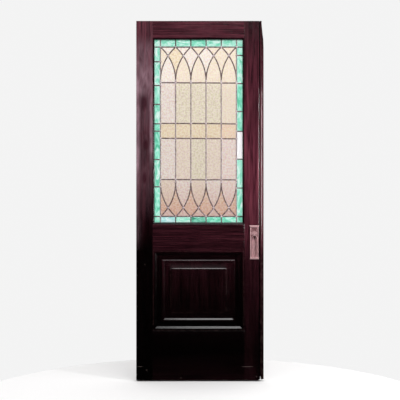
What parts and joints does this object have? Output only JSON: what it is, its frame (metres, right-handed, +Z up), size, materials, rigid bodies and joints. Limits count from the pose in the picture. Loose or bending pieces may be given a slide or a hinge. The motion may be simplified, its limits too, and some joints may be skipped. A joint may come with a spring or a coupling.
{
  "type": "sliding door with leaded light",
  "caption": "Framed hardwood pocket door with a leaded light of interlaced arches above a raised panel, hung by its top edge, with flush pull plates on both faces.",
  "frame": {"origin": "middle of the top edge, at mid-thickness, where the hanger is fixed", "axes": "+X across the door to the leading edge with the nosing, +Y from the front face to the back face, +Z up; the front faces -Y"},
  "size_m": [0.8496, 0.052, 2.3926],
  "materials": {
    "varnished_mahogany": "dark red-brown hardwood under old glossy varnish",
    "dark_mahogany": "the same varnish, darker and almost black towards the foot",
    "worn_bronze": "cast bronze, worn pinkish and dull in the cup",
    "lead_came": "dull grey-brown lead with paler solder at the joints",
    "cathedral_glass": "seedy hammered glass, cream to pinkish white",
    "amber_glass": "seedy hammered glass, straw to peach",
    "opalescent_glass": "streaky mint and white opalescent glass"
  },
  "bodies": {
    "root": {"back_stile": "varnished_mahogany", "lock_stile": "varnished_mahogany", "top_rail": "varnished_mahogany", "edge_nosing": "varnished_mahogany", "lock_rail": "dark_mahogany", "bottom_rail": "dark_mahogany", "panel": "dark_mahogany", "panel_moulding_front_top": "dark_mahogany", "glazing_stop_front_top": "varnished_mahogany", "panel_moulding_front_bottom": "dark_mahogany", "glazing_stop_front_bottom": "varnished_mahogany", "panel_moulding_front_left": "dark_mahogany", "glazing_stop_front_left": "varnished_mahogany", "panel_moulding_front_right": "dark_mahogany", "glazing_stop_front_right": "varnished_mahogany", "panel_moulding_back_top": "dark_mahogany", "glazing_stop_back_top": "varnished_mahogany", "panel_moulding_back_bottom": "dark_mahogany", "glazing_stop_back_bottom": "varnished_mahogany", "panel_moulding_back_left": "dark_mahogany", "glazing_stop_back_left": "varnished_mahogany", "panel_moulding_back_right": "dark_mahogany", "glazing_stop_back_right": "varnished_mahogany", "lock_plate_front": "worn_bronze", "lock_plate_back": "worn_bronze", "lead_lattice": "lead_came", "upper_light_1": "cathedral_glass", "lower_light_1": "cathedral_glass", "band_light_1": "amber_glass", "lancet_top_1": "cathedral_glass", "lancet_bottom_1": "cathedral_glass", "upper_light_2": "cathedral_glass", "lower_light_2": "cathedral_glass", "band_light_2": "amber_glass", "lancet_top_2": "cathedral_glass", "lancet_bottom_2": "cathedral_glass", "upper_light_3": "cathedral_glass", "lower_light_3": "cathedral_glass", "band_light_3": "amber_glass", "lancet_top_3": "cathedral_glass", "lancet_bottom_3": "cathedral_glass", "upper_light_4": "cathedral_glass", "lower_light_4": "cathedral_glass", "band_light_4": "amber_glass", "lancet_top_4": "cathedral_glass", "lancet_bottom_4": "cathedral_glass", "upper_light_5": "cathedral_glass", "lower_light_5": "cathedral_glass", "band_light_5": "amber_glass", "lancet_top_5": "cathedral_glass", "lancet_bottom_5": "cathedral_glass", "spandrels_top": "cathedral_glass", "spandrels_bottom": "cathedral_glass", "border_top": "opalescent_glass", "border_bottom": "opalescent_glass", "border_left": "opalescent_glass", "border_right": "opalescent_glass"}
  },
  "joints": []
}
